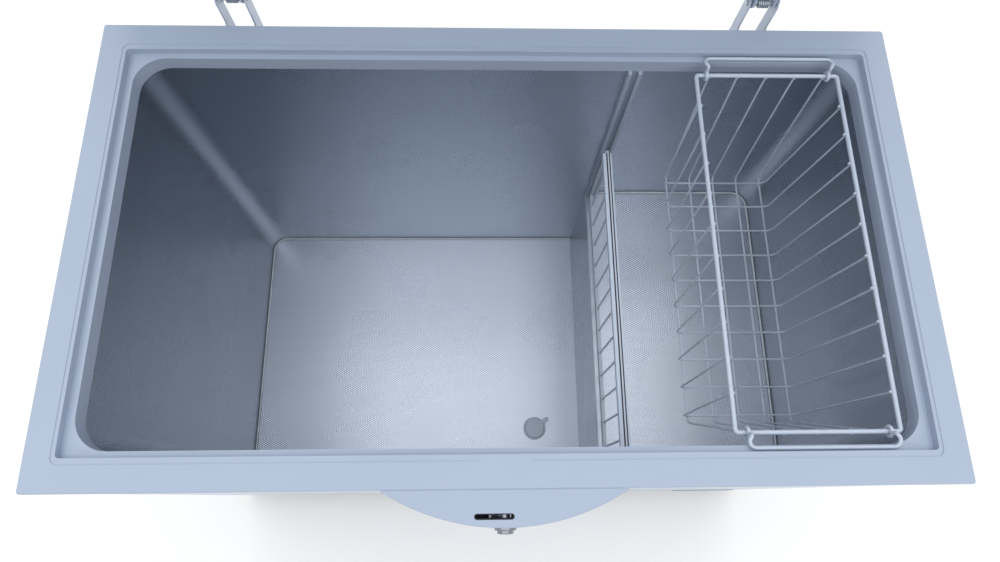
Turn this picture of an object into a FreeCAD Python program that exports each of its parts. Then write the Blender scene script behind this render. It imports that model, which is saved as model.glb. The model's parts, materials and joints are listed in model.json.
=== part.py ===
import FreeCAD, Part
import Sketcher
import math
import os
import re
from FreeCAD import Placement, Rotation, Vector

# A chest freezer, standing open. Millimetres, +Z up, +X to the right and +Y to the back as a person
# stands in front of it. The origin is on the floor, under the middle of the cabinet.

SIZES = {
    # cabinet
    "half_width": 560, "half_depth": 318, "rim_top": 825, "foot_rise": 35, "foot_x": 500, "foot_y": 260,
    "shell_inset": 1.5, "sheet_steel": 0.8, "shell_corner": 1.2, "pan_gauge": 1.2,
    # rim frame, from the outside in
    "rim_plate": 3, "rim_corner": 4, "skirt_drop": 16, "skirt_wall": 1.3, "skirt_inner_corner": 1.5,
    "band_half_width": 528.5, "band_half_depth": 286, "band_depth": 0.8, "band_gap": 30.5,
    "step_corner": 5, "step_half_width": 523.5, "step_half_depth": 278, "ledge_drop": 11, "ledge_plate": 3,
    "throat_half_width": 513, "throat_half_depth": 270, "throat_corner": 42,
    "lip_drop": 34, "lip_wall": 2.3, "riser_wall": 2.5,
    # liner
    "liner_half_width": 521, "liner_half_depth": 273, "liner_gauge": 0.8, "liner_corner": 33,
    "floor_level": 96, "step_x": 190, "hump_level": 363, "bead_radius": 2.2,
    # tubes in the foam
    "evaporator_low": 150, "evaporator_pitch": 95, "condenser_low": 360, "condenser_pitch": 62,
    # machine space under the raised floor
    "well_x": 242, "well_top": 310,
    # divider and its guides
    "guide_width": 20, "guide_depth": 9, "slot_width": 10, "slot_depth": 7.5, "front_guide_drop": 110,
    "divider_x": 200, "divider_top": 553, "divider_half_length": 262, "top_bar_width": 15.6,
    "groove_depth": 2, "rod_radius": 2,
    # basket
    "basket_x": 388, "basket_drop": 20, "frame_half_width": 103.5, "frame_half_length": 254,
    "basket_bottom_drop": 280, "bottom_half_width": 92, "bottom_half_length": 216,
    "frame_wire": 3, "frame_bend": 4, "thin_wire": 1.5, "long_wire_pitch": 42, "cross_wire_span": 410,
    "handle_wire": 2.5, "handle_half_width": 89, "handle_flare": 11, "handle_y": 273.5, "handle_bend": 8,
    "eye_play": 0.3, "eye_bend": 3.5, "hump_y": 258.5, "hump_drop": 3.6, "bar_clearance": 1.2,
    # drain
    "drain_x": 92, "drain_y": -181, "drain_z": 62, "plug_radius": 20.5, "socket_radius": 25,
    "cap_radius": 15, "cap_depth": 17.8,
    # lock
    "lock_half_width": 145, "lock_reach": 44, "lock_flat": 3, "lock_top_gap": 2, "lock_height": 60,
    "lock_wall": 3, "lock_axis_drop": 32, "cylinder_radius": 10, "tongue_y": -348, "tongue_gauge": 3.5,
    # lid, given as it stands open: its underside faces the front
    "hinge_x": 380, "pivot_behind": 34, "pivot_rise": 16, "pin_radius": 4, "pin_clearance": 0.06,
    "lid_rise": 6, "lid_thickness": 44, "lid_corner": 10, "gasket_height": 5.6, "gasket_width": 12,
    "gasket_inset": 10, "panel_inset": 8,
    # controls and machine parts
    "control_x": 430, "control_z": 92, "dish_depth": 18,
    "compressor_x": 395, "compressor_y": 190, "compressor_radius": 66,
}

doc = FreeCAD.newDocument("ChestFreezer")
sheet = doc.addObject("Spreadsheet::Sheet", "Sizes")
for row, (alias, number) in enumerate(SIZES.items(), 1):
    sheet.set(f"A{row}", alias)
    sheet.set(f"B{row}", str(number))
    sheet.setAlias(f"B{row}", alias)
doc.recompute()

sub_parts = []


def bound(formula):
    """The formula with every size named in it read from the sheet."""
    return re.sub(r"[a-z_]+", lambda word: "Sizes." + word[0] if word[0] in SIZES else word[0], str(formula))


def size(alias):
    """A size from the sheet, for shapes that are worked out below."""
    return float(getattr(sheet, alias))


def node(obj, label):
    """Names a finished sub-part, which is then written to a file of that name."""
    obj.Label = label
    sub_parts.append(obj)
    return obj


def block(name, x, y, z):
    """A box between three pairs of formulas, low and high."""
    box = doc.addObject("Part::Box", name)
    for side, axis, (low, high) in zip(("Length", "Width", "Height"), "xyz", (x, y, z)):
        box.setExpression(side, bound(f"({high}) - ({low})"))
        box.setExpression(f"Placement.Base.{axis}", bound(low))
    return box


def ring_block(name, half_x, half_y, z):
    """A box centred on the cabinet's axis."""
    return block(name, (f"-({half_x})", half_x), (f"-({half_y})", half_y), z)


def rod(name, radius, length, base, direction=(0, 0, 1)):
    """A cylinder from a base point, along a direction."""
    cylinder = doc.addObject("Part::Cylinder", name)
    cylinder.setExpression("Radius", bound(radius))
    cylinder.setExpression("Height", bound(length))
    cylinder.Placement = Placement(Vector(0, 0, 0), Rotation(Vector(0, 0, 1), Vector(*direction)))
    for axis, formula in zip("xyz", base):
        cylinder.setExpression(f"Placement.Base.{axis}", bound(formula))
    return cylinder


def fuse(name, *shapes):
    """Several shapes joined into one solid."""
    joined = doc.addObject("Part::MultiFuse", name)
    joined.Shapes = list(shapes)
    joined.Refine = True
    return joined


def cut(name, base, *tools):
    """The base with every tool taken away."""
    result = doc.addObject("Part::Cut", name)
    result.Base = base
    result.Tool = tools[0] if len(tools) == 1 else fuse(name + "_tools", *tools)
    return result


def group(name, *shapes):
    """Separate solids kept together as one sub-part."""
    compound = doc.addObject("Part::Compound", name)
    compound.Links = list(shapes)
    return compound


def shaped(name, *shapes):
    """A feature that holds shapes worked out from the sheet's sizes."""
    feature = doc.addObject("Part::Feature", name)
    feature.Shape = shapes[0] if len(shapes) == 1 else Part.makeCompound(list(shapes))
    return feature


def rounded(solid, radius, chosen):
    """Rounds the edges that the test chooses."""
    doc.recompute()
    numbers = [number for number, edge in enumerate(solid.Shape.Edges, 1) if chosen(edge)]
    fillet = doc.addObject("Part::Fillet", solid.Name + "_rounded")
    fillet.Base = solid
    fillet.Edges = [(number, radius, radius) for number in numbers]
    return fillet


def runs_along(axis):
    """A test for straight edges along one axis."""
    def test(edge):
        return edge.Curve.TypeId == "Part::GeomLine" and abs(edge.tangentAt(edge.FirstParameter).dot(axis)) > 0.99
    return test


UPRIGHT = runs_along(Vector(0, 0, 1))
FORE_AND_AFT = runs_along(Vector(0, 1, 0))


def rounded_block(name, half_x, half_y, radius, z):
    """A centred box with its four upright edges rounded."""
    return rounded(ring_block(name, half_x, half_y, z), radius, UPRIGHT)


def plane_of(body, role):
    """One of a body's own origin planes."""
    return next(item for item in body.Origin.OriginFeatures if item.Role == role)


def outline(body, plane, offset, corners):
    """A closed sketch through corners whose two distances from the origin are formulas."""
    sketch = body.newObject("Sketcher::SketchObject", body.Name + "_sketch")
    sketch.AttachmentSupport = (plane_of(body, plane), [""])
    sketch.MapMode = "FlatFace"
    sketch.setExpression("AttachmentOffset.Base.z", bound(offset))
    start = [Vector(10 * math.cos(turn), 10 * math.sin(turn), 0)
             for turn in (2 * math.pi * number / len(corners) for number in range(len(corners)))]
    for number in range(len(corners)):
        sketch.addGeometry(Part.LineSegment(start[number - 1], start[number]), False)
    for number in range(len(corners)):
        following = (number + 1) % len(corners)
        sketch.addConstraint(Sketcher.Constraint("Coincident", number, 2, following, 1))
    for number, corner in enumerate(corners):
        for kind, formula in zip(("DistanceX", "DistanceY"), corner):
            index = sketch.addConstraint(Sketcher.Constraint(kind, -1, 1, number, 2, 1.0))
            sketch.setExpression(f"Constraints[{index}]", bound(formula))
    return sketch


def padded(name, plane, corners, low, high):
    """A body padded from an outline, between two distances along the plane's normal."""
    body = doc.addObject("PartDesign::Body", name)
    sketch = outline(body, plane, low, corners)
    pad = body.newObject("PartDesign::Pad", name + "_pad")
    pad.Profile = sketch
    pad.setExpression("Length", bound(f"({high}) - ({low})"))
    sketch.Visibility = False
    return body


def turned(name, corners, base, direction=(0, 0, 1)):
    """A body revolved from (radius, height) corners, set at a base point along a direction."""
    body = doc.addObject("PartDesign::Body", name)
    sketch = outline(body, "XZ_Plane", "0", corners)
    revolution = body.newObject("PartDesign::Revolution", name + "_turn")
    revolution.Profile = sketch
    revolution.ReferenceAxis = (sketch, ["V_Axis"])
    revolution.Angle = 360
    body.Placement = Placement(Vector(0, 0, 0), Rotation(Vector(0, 0, 1), Vector(*direction)))
    for axis, formula in zip("xyz", base):
        body.setExpression(f"Placement.Base.{axis}", bound(formula))
    return body


def bent_path(points, bends):
    """Straight runs through the points, joined by tangent arcs: one radius for all, or one for each corner."""
    points = [Vector(*point) for point in points]
    if not isinstance(bends, (list, tuple)):
        bends = [bends] * (len(points) - 2)
    edges = []
    start = points[0]
    for before, corner, after, bend in zip(points, points[1:], points[2:], bends):
        into = (corner - before).normalize()
        out = (after - corner).normalize()
        half_turn = into.getAngle(out) / 2
        first = corner - into * (bend * math.tan(half_turn))
        last = corner + out * (bend * math.tan(half_turn))
        middle = corner + (out - into).normalize() * (bend / math.cos(half_turn) - bend)
        edges.append(Part.LineSegment(start, first).toShape())
        edges.append(Part.Arc(first, middle, last).toShape())
        start = last
    edges.append(Part.LineSegment(start, points[-1]).toShape())
    return Part.Wire(edges)


def wire(points, radius, bend):
    """A bent round wire or tube along the points."""
    start = Vector(*points[0])
    section = Part.Wire(Part.Circle(start, Vector(*points[1]) - start, radius).toShape())
    return bent_path(points, bend).makePipeShell([section], True, False)


def bored_wire(points, radius, wall, bend):
    """A bent tube with its bore open at both ends."""
    return wire(points, radius, bend).cut(wire(points, radius - wall, bend))


# Formulas used by several sub-parts

SHELL_X = "(half_width - shell_inset)"
SHELL_Y = "(half_depth - shell_inset)"
INSIDE_X = f"({SHELL_X} - sheet_steel)"
INSIDE_Y = f"({SHELL_Y} - sheet_steel)"
PAN_TOP = "(foot_rise + pan_gauge)"
FRAME_UNDERSIDE = "(rim_top - skirt_drop)"
LEDGE = "(rim_top - ledge_drop)"
LID_FACE = "(half_depth + pivot_behind - pivot_rise)"
LID_FOOT = "(rim_top + pivot_rise + pivot_behind)"
LID_TOP = f"({LID_FOOT} + 2 * half_depth)"
PIVOT_Y = "(half_depth + pivot_behind)"
PIVOT_Z = "(rim_top + pivot_rise)"
DISH_LEFT, DISH_RIGHT = "(control_x - 30)", "(control_x + 86)"
DISH_LOW, DISH_HIGH = "(control_z - 22)", "(control_z + 22)"
FRONT = (0, -1, 0)
BACK = (0, 1, 0)

half_width, half_depth, rim_top = size("half_width"), size("half_depth"), size("rim_top")


# Cabinet

def make_rim_frame():
    """The moulded frame: the flat rim, its skirt outside and its riser inside."""
    edge = size("rim_corner")
    top = rounded_block("rim_plate_block", "half_width", "half_depth", edge, ("rim_top - rim_plate", "rim_top"))
    skirt = rounded_block("skirt_block", "half_width", "half_depth", edge, (FRAME_UNDERSIDE, "rim_top"))
    skirt_hole = rounded_block("skirt_hole", "half_width - skirt_wall", "half_depth - skirt_wall",
                               size("skirt_inner_corner"), (f"{FRAME_UNDERSIDE} - 1", "rim_top + 1"))
    riser = rounded_block("riser_block", "step_half_width + riser_wall", "step_half_depth + riser_wall",
                          size("step_corner") + size("riser_wall"), (f"{LEDGE} + 0.1", "rim_top"))
    step_hole = rounded_block("step_hole", "step_half_width", "step_half_depth", size("step_corner"),
                              (LEDGE, "rim_top + 1"))
    band_outer = rounded_block("band_outer", "band_half_width", "band_half_depth", edge + 6,
                               ("rim_top - band_depth", "rim_top + 1"))
    band_gap = block("band_gap_block", ("-band_gap", "band_gap"), ("-half_depth", "half_depth"),
                     ("rim_top - band_depth - 1", "rim_top + 2"))
    band = cut("band", band_outer, band_gap)
    frame = cut("frame_cut", fuse("frame_walls", cut("skirt", skirt, skirt_hole), top, riser), step_hole, band)

    def outer_top_edge(item):
        box = item.BoundBox
        far = max(abs(box.XMin), abs(box.XMax)) > half_width - edge - 0.5 or \
            max(abs(box.YMin), abs(box.YMax)) > half_depth - edge - 0.5
        return box.ZMin > rim_top - 0.01 and far
    node(rounded(frame, 2, outer_top_edge), "rim_frame")


def make_throat_lip():
    """The moulded strip between rim and liner: a ledge, and the lip round the throat that hangs from it."""
    ledge = rounded_block("ledge_block", "step_half_width + riser_wall", "step_half_depth + riser_wall",
                          size("step_corner") + size("riser_wall"), (f"{LEDGE} - ledge_plate", LEDGE))
    lip = rounded_block("lip_block", "throat_half_width + lip_wall", "throat_half_depth + lip_wall",
                        size("throat_corner") + size("lip_wall"), ("rim_top - lip_drop", LEDGE))
    hole = rounded_block("throat_hole", "throat_half_width", "throat_half_depth", size("throat_corner"),
                         ("rim_top - lip_drop - 1", "rim_top"))
    node(cut("lip_cut", fuse("lip_walls", ledge, lip), hole), "throat_lip")


def make_shell():
    """The painted steel wrap: front and both sides, open at the back, with its cut-outs."""
    steel = rounded_block("shell_block", SHELL_X, SHELL_Y, size("shell_corner"),
                          ("foot_rise", "rim_top - rim_plate"))
    inside = block("shell_inside", (f"-{INSIDE_X}", INSIDE_X), (f"-{INSIDE_Y}", "half_depth + 1"),
                   ("foot_rise - 1", "rim_top"))
    grille_hole = block("grille_hole", (f"{INSIDE_X} - 2", "half_width"), ("-100", "100"), ("80", "220"))
    control_hole = block("control_hole", (f"{DISH_LEFT} - 0.3", f"{DISH_RIGHT} + 0.3"),
                         ("-half_depth", f"-{INSIDE_Y} + 2"), (f"{DISH_LOW} - 0.3", f"{DISH_HIGH} + 0.3"))
    drain_hole = rod("shell_drain_hole", "cap_radius + 1", "8", ("drain_x", f"-{SHELL_Y} + 4", "drain_z"), FRONT)
    node(cut("outer_shell", steel, inside, grille_hole, control_hole, drain_hole), "outer_shell")


def make_back_panel():
    """The flat back, with air slots beside the machine space and a hole for the power inlet."""
    panel = block("back_sheet", (f"-{INSIDE_X}", INSIDE_X), (INSIDE_Y, SHELL_Y), ("foot_rise", FRAME_UNDERSIDE))
    slots = [block(f"back_slot_{row}", ("290", "450"), (f"{INSIDE_Y} - 1", f"{SHELL_Y} + 1"),
                   (str(90 + 20 * row), str(98 + 20 * row))) for row in range(9)]
    inlet_hole = rod("inlet_hole", "8.3", "6", ("505", f"{INSIDE_Y} - 2", "80"), BACK)
    node(cut("back_panel", panel, inlet_hole, *slots), "back_panel")


def make_base_pan():
    """The pan that the cabinet stands on, slotted under the machine space."""
    pan = ring_block("pan_sheet", INSIDE_X, INSIDE_Y, ("foot_rise", PAN_TOP))
    slots = [block(f"pan_slot_{row}", (str(270 + 28 * row), str(278 + 28 * row)), ("-120", "60"),
                   ("foot_rise - 1", f"{PAN_TOP} + 1")) for row in range(9)]
    node(cut("base_pan", pan, *slots), "base_pan")


def make_feet():
    """Four moulded feet, each with a wide pad."""
    profile = [("0", "0"), ("20", "0"), ("22", "3"), ("22", "8"), ("14", "14"), ("14", "foot_rise"),
               ("0", "foot_rise")]
    feet = [turned(f"foot_{number}", profile, (x, y, "0"))
            for number, (x, y) in enumerate([("-foot_x", "-foot_y"), ("foot_x", "-foot_y"),
                                             ("foot_x", "foot_y"), ("-foot_x", "foot_y")])]
    node(group("feet", *feet), "feet")


def make_vent_grille():
    """A moulded grille of level louvres for the machine space."""
    body = padded("vent_grille", "YZ_Plane", [("-99.5", "80.5"), ("99.5", "80.5"), ("99.5", "219.5"),
                                              ("-99.5", "219.5")], f"{SHELL_X} - 3", f"{SHELL_X} + 1")
    opening = outline(body, "YZ_Plane", f"{SHELL_X} + 2", [("-88", "90"), ("88", "90"), ("88", "97"),
                                                          ("-88", "97")])
    pocket = body.newObject("PartDesign::Pocket", "louvre")
    pocket.Profile = opening
    pocket.Length = 10
    doc.recompute()
    pattern = body.newObject("PartDesign::LinearPattern", "louvres")
    pattern.Originals = [pocket]
    pattern.Direction = (plane_of(body, "Z_Axis"), [""])
    pattern.Length = 112
    pattern.Occurrences = 9
    body.Tip = pattern
    node(body, "vent_grille")


def stepped(name, growth, low, high):
    """The space inside the liner, grown outwards: the deep left side and the shallow right one."""
    whole = rounded_block(name + "_whole", f"liner_half_width + {growth}", f"liner_half_depth + {growth}",
                          size("liner_corner") + size("liner_gauge"), (low, high))
    hump = block(name + "_hump", (f"step_x + {growth}", "half_width"), ("-half_depth", "half_depth"),
                 ("0", f"hump_level - {growth}"))
    return cut(name, whole, hump)


def evaporator_route():
    """The evaporator's rows round the left, front and back of the liner."""
    stand_off = size("liner_gauge") + 3.9
    x = size("liner_half_width") + stand_off
    y = size("liner_half_depth") + stand_off
    points = []
    for row in range(6):
        level = size("evaporator_low") + size("evaporator_pitch") * row
        side = -1 if row % 2 == 0 else 1
        points += [(160, side * y, level), (-x, side * y, level), (-x, -side * y, level), (160, -side * y, level)]
    return points


def condenser_route():
    """The condenser's rows inside the front wall."""
    points = []
    for row in range(7):
        level = size("condenser_low") + size("condenser_pitch") * row
        ends = (500, -500) if row % 2 == 0 else (-500, 500)
        points += [(x, 3.6 - size("half_depth") + size("shell_inset") + size("sheet_steel"), level) for x in ends]
    return points


def drain_route():
    """From under the drain socket down and forward through the front."""
    x, y, z = size("drain_x"), size("drain_y"), size("drain_z")
    return [(x, y, 77.6), (x, y, z), (x, size("cap_depth") - 12 - half_depth, z)]


def make_foam():
    """Foam that fills the walls, with the grooves of the tubes that are foamed into it."""
    left = block("foam_left", (f"-{INSIDE_X}", "well_x"), (f"-{INSIDE_Y}", INSIDE_Y), (PAN_TOP, FRAME_UNDERSIDE))
    right = block("foam_right", ("well_x", INSIDE_X), (f"-{INSIDE_Y}", INSIDE_Y), ("well_top", FRAME_UNDERSIDE))
    cavity = stepped("foam_cavity", "liner_gauge", "floor_level - liner_gauge", "rim_top")
    grooves = shaped("tube_grooves", wire(evaporator_route(), 3.3, 18), wire(condenser_route(), 2.9, 18),
                     wire(drain_route(), 11.3, 13))
    socket_hole = rod("foam_socket_hole", "15.4", "40", ("drain_x", "drain_y", "drain_z"))
    cap_hole = rod("foam_cap_hole", "cap_radius + 2", "cap_depth + 3",
                   ("drain_x", "cap_depth + 3 - half_depth", "drain_z"), FRONT)
    node(cut("insulation_foam", fuse("foam_block", left, right), cavity, grooves, socket_hole, cap_hole),
         "insulation_foam")


def make_liner():
    """Embossed aluminium: walls in one wrap, the left floor, and the step with its raised floor."""
    corner = size("liner_corner")
    outer = stepped("liner_outer", "liner_gauge", "floor_level - liner_gauge", FRAME_UNDERSIDE)
    inner = rounded_block("liner_inner", "liner_half_width", "liner_half_depth", corner, ("0", "rim_top"))
    node(cut("liner_walls", outer, inner), "liner_walls")

    floor = rounded_block("floor_sheet", "liner_half_width", "liner_half_depth", corner,
                          ("floor_level - liner_gauge", "floor_level"))
    beyond = block("beyond_step", ("step_x", "half_width"), ("-half_depth", "half_depth"), ("0", "rim_top"))
    socket_hole = rod("floor_socket_hole", "15.3", "10", ("drain_x", "drain_y", "floor_level - 5"))
    node(cut("liner_floor", floor, beyond, socket_hole), "liner_floor")

    hump = rounded_block("hump_sheet", "liner_half_width", "liner_half_depth", corner,
                         ("hump_level - liner_gauge", "hump_level"))
    before = block("before_step", ("-half_width", "step_x"), ("-half_depth", "half_depth"), ("0", "rim_top"))
    riser = block("step_riser", ("step_x", "step_x + liner_gauge"), ("-liner_half_depth", "liner_half_depth"),
                  ("floor_level - liner_gauge", "hump_level"))
    node(fuse("liner_step", cut("hump_floor", hump, before), riser), "liner_step")


def make_liner_trim():
    """Seam beads round both floors and the angle on the step's edge."""
    radius = size("bead_radius")
    inset = radius + 0.1
    x = size("liner_half_width") - inset
    y = size("liner_half_depth") - inset

    def bead(start, end, level):
        z = level + inset
        return wire([(start, y, z), (end, y, z), (end, -y, z), (start, -y, z)], radius,
                    size("liner_corner") - inset)
    beads = shaped("seam_beads", bead(size("step_x") - inset, -x, size("floor_level")),
                   bead(size("divider_x") + 14, x, size("hump_level")))
    node(beads, "seam_beads")
    length = "liner_half_depth - guide_depth - 1"
    leg_down = block("trim_leg_down", ("step_x - 1.2", "step_x - 0.1"), (f"-({length})", length),
                     ("hump_level - 14", "hump_level + 1.1"))
    leg_over = block("trim_leg_over", ("step_x - 1.2", "step_x + 5"), (f"-({length})", length),
                     ("hump_level + 0.1", "hump_level + 1.1"))
    node(fuse("step_trim", leg_down, leg_over), "step_trim")


def make_guides():
    """The two upright channels that the divider slides in. The front one ends out of sight below the lip."""
    for label, side, top in (("guide_back", 1, "rim_top - lip_drop"),
                             ("guide_front", -1, "rim_top - front_guide_drop")):
        wall, face = "liner_half_depth", "liner_half_depth - guide_depth"
        floor = "liner_half_depth - guide_depth + slot_depth"
        across = (face, wall) if side > 0 else (f"-({wall})", f"-({face})")
        slot_across = (f"{face} - 1", floor) if side > 0 else (f"-({floor})", f"1 - ({face})")
        channel = block(label + "_channel", ("divider_x - guide_width / 2", "divider_x + guide_width / 2"), across,
                        ("hump_level", top))
        slot = block(label + "_slot", ("divider_x - slot_width / 2", "divider_x + slot_width / 2"), slot_across,
                     ("hump_level - 1", "rim_top"))
        node(cut(label, channel, slot), label)


# Drain

def make_drain():
    """The socket in the left floor, the plug in it, the pipe to the front and its outside cap."""
    base = ("drain_x", "drain_y", "floor_level")
    node(turned("drain_socket", [("12", "-18"), ("15", "-18"), ("15", "0.1"), ("socket_radius", "0.1"),
                                 ("socket_radius", "1.2"), ("socket_radius - 1", "1.8"),
                                 ("plug_radius + 0.8", "1.8"), ("plug_radius + 0.8", "0.8"), ("12", "0.8")],
                base), "drain_socket")
    stopper = turned("plug_stopper", [("0", "-14"), ("11.6", "-14"), ("11.6", "1.1"), ("plug_radius", "1.1"),
                                      ("plug_radius", "4"), ("plug_radius - 1", "5"), ("0", "5")], base)
    tab = fuse("plug_tab", block("tab_strip", ("15", "33"), ("-5", "5"), ("2.2", "4.2")),
               rod("tab_end", "5", "2", ("33", "0", "2.2")))
    doc.recompute()
    tab_turned = shaped("plug_tab_turned", tab.Shape.copy())
    tab_turned.Placement = Placement(Vector(size("drain_x"), size("drain_y"), size("floor_level")),
                                     Rotation(Vector(0, 0, 1), 36))
    node(fuse("drain_plug", stopper, tab_turned), "drain_plug")
    node(shaped("drain_pipe", bored_wire(drain_route(), 11, 2.4, 13)), "drain_pipe")
    node(turned("drain_outlet_cap", [("11.4", "0"), ("cap_radius", "0"), ("cap_radius", "14"),
                                     ("cap_radius - 1.5", "16"), ("0", "16"), ("0", "12.5"), ("11.4", "12.5")],
                ("drain_x", "cap_depth - half_depth", "drain_z"), FRONT), "drain_outlet_cap")


# Divider and basket

def make_divider():
    """A wire grid under a grooved top bar, with end bars that run in the guides."""
    length = "divider_half_length"
    bar = block("bar_block", ("divider_x - top_bar_width / 2", "divider_x + top_bar_width / 2"),
                (f"-{length}", length), ("divider_top - 12", "divider_top"))
    grooves = [block(f"bar_groove_{number}", (f"divider_x + {low}", f"divider_x + {high}"),
                     (f"-{length} - 1", f"{length} + 1"), ("divider_top - groove_depth", "divider_top + 1"))
               for number, (low, high) in enumerate([(-2.1, 0.4), (2.9, 5)])]
    node(cut("divider_top_bar", bar, *grooves), "divider_top_bar")

    foot = "hump_level + 1.5"
    bottom = block("grid_bottom", ("divider_x - 3", "divider_x + 3"), (f"-{length}", length),
                   (foot, f"{foot} + 6"))
    ends = [block(f"grid_end_{side}", ("divider_x - 4", "divider_x + 4"),
                  (f"{side} * ({length} + 3) - 3", f"{side} * ({length} + 3) + 3"), (foot, "divider_top"))
            for side in (-1, 1)]
    count = 12
    rods = [rod(f"grid_rod_{number}", "rod_radius", f"divider_top - 12 - ({foot}) - 3",
                ("divider_x", f"{length} * {(2 * number + 1 - count) / count}", f"{foot} + 3"))
            for number in range(count)]
    node(fuse("divider_grid", bottom, *ends, *rods), "divider_grid")


def make_basket():
    """A thick wire frame over welded thin wires: 5 along and 10 across."""
    middle = size("basket_x")
    top = rim_top - size("basket_drop")
    bottom = rim_top - size("basket_bottom_drop")
    half_x, half_y = size("frame_half_width"), size("frame_half_length")
    thick, thin = size("frame_wire"), size("thin_wire")
    left, right = middle - half_x, middle + half_x
    loop = [(middle, half_y, top), (right, half_y, top), (right, -half_y, top), (left, -half_y, top),
            (left, half_y, top), (middle, half_y, top)]
    node(shaped("basket_frame", wire(loop, thick, size("frame_bend"))), "basket_frame")

    weld = top - thick - thin + 0.3
    floor_x, floor_y = size("bottom_half_width"), size("bottom_half_length")
    along = []
    for number in range(5):
        x = middle + (number - 2) * size("long_wire_pitch")
        along.append(wire([(x, half_y, weld), (x, floor_y, bottom), (x, -floor_y, bottom), (x, -half_y, weld)],
                          thin, 12))
    node(shaped("basket_long_wires", *along), "basket_long_wires")

    across = []
    on_top = bottom + 2 * thin - 0.2
    count = 10
    for number in range(count):
        y = size("cross_wire_span") * (number / (count - 1) - 0.5)
        across.append(wire([(left, y, weld), (middle - floor_x, y, on_top), (middle + floor_x, y, on_top),
                            (right, y, weld)], thin, 12))
    node(shaped("basket_cross_wires", *across), "basket_cross_wires")

    for label, side in (("basket_handle_back", 1), ("basket_handle_front", -1)):
        node(shaped(label, basket_handle(side)), label)


def basket_handle(side):
    """A loop that hangs by two eyes from the basket's end bar, and rests over the throat's edge."""
    middle, hang_y = size("basket_x"), size("frame_half_length")
    hang_z = rim_top - size("basket_drop")
    wire_radius = size("handle_wire")
    eye = size("frame_wire") + wire_radius + size("eye_play")
    lean = math.radians(20)
    start_y, start_z = hang_y + eye * math.sin(lean), hang_z + eye * math.cos(lean)
    hump_y, hump_z = size("hump_y"), rim_top - size("hump_drop")
    bar_z = rim_top - size("ledge_drop") + wire_radius + size("bar_clearance")
    legs = []
    for x, flare in ((middle - size("handle_half_width"), -size("handle_flare")),
                     (middle + size("handle_half_width"), size("handle_flare"))):
        legs.append([(x, side * start_y, start_z), (x, side * hump_y, hump_z),
                     (x + flare, side * size("handle_y"), bar_z)])
    bend, eye_bend = size("handle_bend"), size("eye_bend")
    loop = wire(legs[0] + legs[1][::-1], wire_radius, [eye_bend, bend, bend, eye_bend])
    for leg in legs:
        centre = Vector(leg[0][0], side * hang_y, hang_z)
        loop = loop.fuse(Part.makeTorus(eye, wire_radius, centre, Vector(1, 0, 0)))
    return loop


# Lock

def crescent(half_x, flat, reach):
    """A flat face: a chord on the X axis, two short flats forward, and one arc to the reach."""
    left, right = Vector(-half_x, 0, 0), Vector(half_x, 0, 0)
    left_flat, right_flat = Vector(-half_x, -flat, 0), Vector(half_x, -flat, 0)
    arc = Part.Arc(left_flat, Vector(0, -reach, 0), right_flat).toShape()
    return Part.Face(Part.Wire([Part.LineSegment(right, left).toShape(),
                                Part.LineSegment(left, left_flat).toShape(), arc,
                                Part.LineSegment(right_flat, right).toShape()]))


def hollow_crescent(height):
    """A crescent box of one wall, closed on top and along the arc."""
    wall = size("lock_wall")
    half_x, flat, reach = size("lock_half_width"), size("lock_flat"), size("lock_reach")
    outer = crescent(half_x, flat, reach).extrude(Vector(0, 0, height))
    outer = outer.makeFillet(1.5, [item for item in outer.Edges if item.BoundBox.ZMin > height - 0.01
                                   and item.BoundBox.YMin < -flat - 1])
    inner = crescent(half_x - wall, flat, reach - wall).extrude(Vector(0, 0, height))
    inner.translate(Vector(0, 0, -wall - 1))
    return outer.cut(inner)


def make_lock():
    """The crescent housing with its tongue slot, the bezel, and the cylinder with its hooked cam."""
    height = size("lock_height")
    wall = size("lock_wall")
    axis_z = rim_top - size("lock_axis_drop")
    housing = hollow_crescent(height)
    housing.translate(Vector(0, -half_depth + size("shell_inset") - 0.1, rim_top - size("lock_top_gap") - height))
    slot_y = size("tongue_y")
    slot = Part.makeBox(40, 7, 2 * wall + 4, Vector(-33.5, slot_y - 3.5, rim_top - 2 * wall - 4))
    for x in (-33.5, 6.5):
        slot = slot.fuse(Part.makeCylinder(3.5, 2 * wall + 4, Vector(x, slot_y, rim_top - 2 * wall - 4)))
    in_front = Vector(0, -half_depth - size("lock_reach") - 8, axis_z)
    bezel_hole = Part.makeCylinder(13.8, 20, in_front, Vector(*BACK))
    skirt_space = Part.makeBox(2 * half_width, half_depth, height,
                               Vector(-half_width, -half_depth - 0.1, rim_top - size("skirt_drop") - 0.1))
    node(shaped("lock_housing", housing.cut(slot).cut(bezel_hole).cut(skirt_space)), "lock_housing")

    centre = ("0", "-half_depth - lock_reach + 4", "rim_top - lock_axis_drop")
    bezel = turned("lock_bezel", [("cylinder_radius + 0.1", "-3"), ("13.4", "-3"), ("13.4", "5.4"),
                                  ("12.4", "6.4"), ("cylinder_radius + 0.1", "6.4")], centre, FRONT)
    node(bezel, "lock_bezel")

    barrel = turned("lock_barrel", [("0", "-15"), ("3.9", "-15"), ("3.9", "-7.4"), ("cylinder_radius", "-7.4"),
                                    ("cylinder_radius", "9.4"), ("cylinder_radius - 1", "10.4"), ("0", "10.4")],
                    centre, FRONT)
    keyway = block("keyway", ("-1.2", "1.2"), ("-half_depth - lock_reach - 8", "-half_depth - lock_reach"),
                   ("rim_top - lock_axis_drop - 4.5", "rim_top - lock_axis_drop + 4.5"))
    node(cut("lock_cylinder", barrel, keyway), "lock_cylinder")

    node(shaped("lock_cam", hooked_cam(axis_z)), "lock_cam")


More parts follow.
